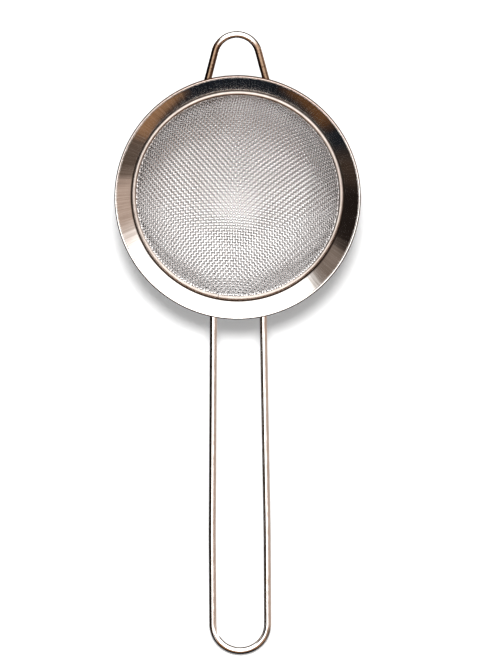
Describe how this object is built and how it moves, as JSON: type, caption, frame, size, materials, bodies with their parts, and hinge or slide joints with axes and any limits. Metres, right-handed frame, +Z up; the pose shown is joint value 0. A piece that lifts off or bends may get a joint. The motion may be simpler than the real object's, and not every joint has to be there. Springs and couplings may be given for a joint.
{
  "type": "fine mesh strainer",
  "caption": "Round fine-mesh strainer with a flared steel rim, a shallow woven bowl, a long wire loop handle and a rest hook.",
  "frame": {"origin": "on the table plane, midway between the handle's end and the hook's end, as the strainer rests on its bowl and handle end", "axes": "+Z up from the table, +Y from the handle's end to the hook, +X to the right"},
  "size_m": [0.08, 0.2034, 0.0364],
  "materials": {
    "pressed_sheet": "polished stainless sheet with fine cross marks",
    "ring_steel": "satin stainless",
    "wire_cloth": "woven stainless wire, bright",
    "bent_wire": "polished stainless wire",
    "weld_metal": "dull, heat-tinted"
  },
  "bodies": {
    "root": {"rim_band": "pressed_sheet", "mesh_clamp_ring": "ring_steel", "mesh_bowl": "wire_cloth", "handle_loop": "bent_wire", "rest_hook": "bent_wire", "handle_weld_left": "weld_metal", "handle_weld_right": "weld_metal", "hook_weld_left": "weld_metal", "hook_weld_right": "weld_metal"}
  },
  "joints": []
}
